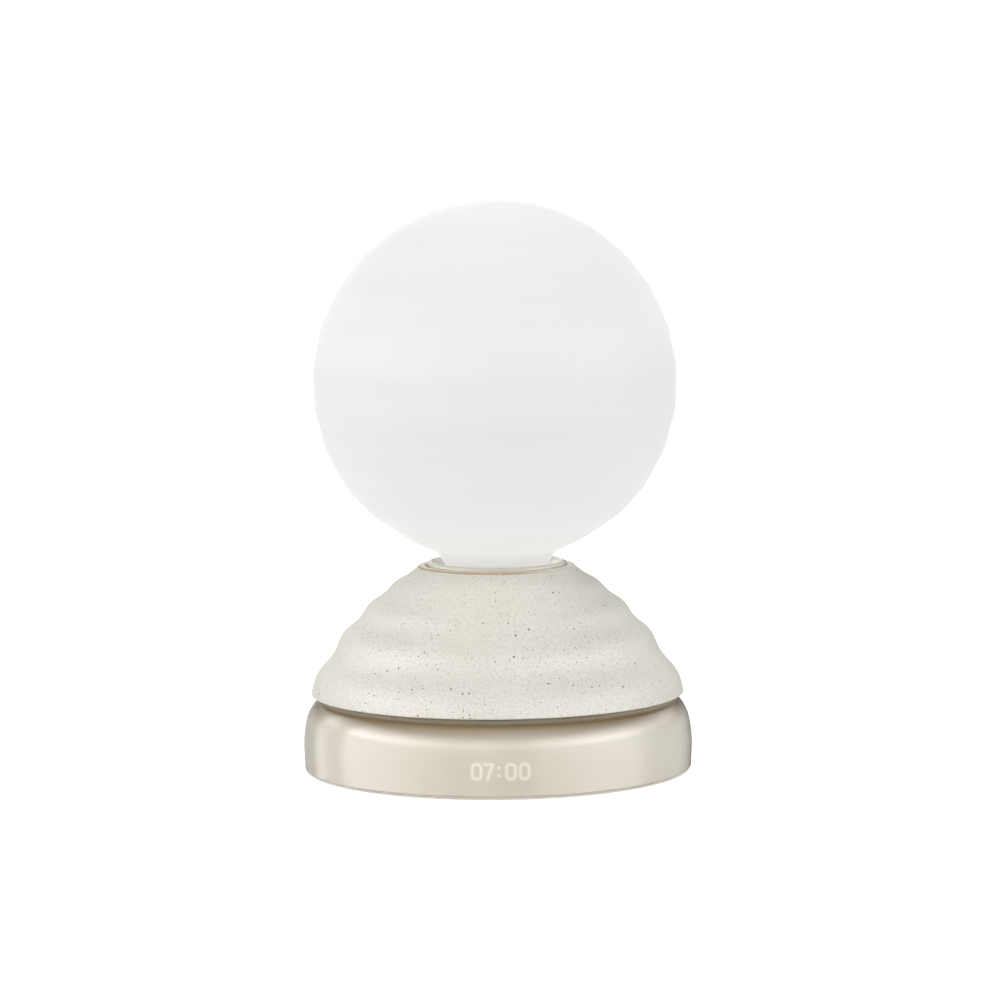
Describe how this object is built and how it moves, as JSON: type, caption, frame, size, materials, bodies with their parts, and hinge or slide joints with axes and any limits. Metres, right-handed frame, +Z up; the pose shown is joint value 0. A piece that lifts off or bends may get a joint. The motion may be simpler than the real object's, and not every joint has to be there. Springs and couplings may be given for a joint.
{
  "type": "sunrise alarm clock",
  "caption": "Bedside wake-up light: an opal glass globe on a rippled speckled ceramic dome, over a round glossy base that shows the time.",
  "frame": {"origin": "on the table, under the centre of the round base", "axes": "+Z up through the globe, -Y towards the front with the time, +X to the right seen from the front"},
  "size_m": [0.1502, 0.15, 0.219],
  "materials": {
    "glossy_cream_plastic": "glossy",
    "satin_cream_plastic": "satin",
    "silicone_foot": "matt",
    "zinc_plated_steel": "bright",
    "stainless_steel": "satin",
    "nickel_plated_steel": "bright",
    "green_board": "satin",
    "white_board": "satin",
    "black_epoxy": "matt",
    "capacitor_aluminium": "satin",
    "black_plastic": "satin",
    "warm_diffuser_film": "matt",
    "display_leds": "clear",
    "warm_leds": "clear",
    "button_plastic": "satin",
    "black_foam": "matt",
    "black_painted_steel": "satin",
    "ferrite": "matt",
    "copper_wire": "lacquered",
    "black_paper": "matt",
    "black_rubber": "matt",
    "woven_cloth": "matt",
    "grey_silicone": "matt",
    "speckled_stoneware": "satin glaze with small brown specks",
    "glossy_cream_collar": "glossy",
    "white_plastic": "satin",
    "white_diffuser": "matt, translucent",
    "white_cable": "satin",
    "cast_aluminium": "satin",
    "opal_glass": "satin opal"
  },
  "bodies": {
    "base": {"base_shell": "glossy_cream_plastic", "base_plate": "satin_cream_plastic", "foot_ring": "silicone_foot", "ballast_plate": "zinc_plated_steel", "base_plate_screws": "zinc_plated_steel", "main_board": "green_board", "board_screws": "zinc_plated_steel", "board_chips": "black_epoxy", "board_capacitors": "capacitor_aluminium", "cell_holder": "black_plastic", "coin_cell": "stainless_steel", "display_diffuser": "warm_diffuser_film", "display_mask": "black_plastic", "display_leds": "display_leds", "display_board": "green_board", "display_header": "black_plastic", "switch_housings": "stainless_steel", "power_socket": "nickel_plated_steel", "socket_tongue": "black_plastic", "speaker_gasket": "black_foam", "speaker_frame": "black_painted_steel", "speaker_plate": "zinc_plated_steel", "speaker_magnet": "ferrite", "speaker_yoke": "zinc_plated_steel", "speaker_screws": "zinc_plated_steel", "speaker_surround": "black_rubber", "speaker_spider": "woven_cloth", "dome_pads": "grey_silicone", "ceramic_dome": "speckled_stoneware", "light_column": "white_plastic", "column_screws": "zinc_plated_steel", "collar_gasket": "grey_silicone", "collar_ring": "glossy_cream_collar", "collar_screws": "zinc_plated_steel", "neck_seat": "grey_silicone", "heat_sink": "cast_aluminium", "heat_sink_screws": "zinc_plated_steel", "light_board": "white_board", "light_board_screws": "zinc_plated_steel", "light_leds": "warm_leds", "light_diffuser": "white_diffuser", "light_header": "white_plastic", "light_plug": "white_plastic", "light_lead": "white_cable"},
    "globe": {"glass_globe": "opal_glass"},
    "light_key": {"light_button": "button_plastic", "light_plunger": "black_plastic"},
    "alarm_key": {"alarm_button": "button_plastic", "alarm_plunger": "black_plastic"},
    "minus_key": {"minus_button": "button_plastic", "minus_plunger": "black_plastic"},
    "plus_key": {"plus_button": "button_plastic", "plus_plunger": "black_plastic"},
    "cone": {"speaker_cone": "black_paper", "dust_cap": "black_paper", "voice_coil": "copper_wire"}
  },
  "joints": [
    {"name": "globe_lift", "type": "slide", "parent": "base", "child": "globe", "axis": [0, 0, 1], "range_m": [0, 0.0438]},
    {"name": "light_press", "type": "slide", "parent": "base", "child": "light_key", "axis": [0.5592, -0.829, 0], "range_m": [0, 0.0006], "stiffness_N_per_m": 1500},
    {"name": "alarm_press", "type": "slide", "parent": "base", "child": "alarm_key", "axis": [0.3746, -0.9272, 0], "range_m": [0, 0.0006], "stiffness_N_per_m": 1500},
    {"name": "minus_press", "type": "slide", "parent": "base", "child": "minus_key", "axis": [-0.3746, -0.9272, 0], "range_m": [0, 0.0006], "stiffness_N_per_m": 1500},
    {"name": "plus_press", "type": "slide", "parent": "base", "child": "plus_key", "axis": [-0.5592, -0.829, 0], "range_m": [0, 0.0006], "stiffness_N_per_m": 1500},
    {"name": "cone_stroke", "type": "slide", "parent": "base", "child": "cone", "axis": [0, 0, 1], "range_m": [-0.0008, 0.0008], "stiffness_N_per_m": 1200, "deforming": ["speaker_surround", "speaker_spider"]}
  ]
}
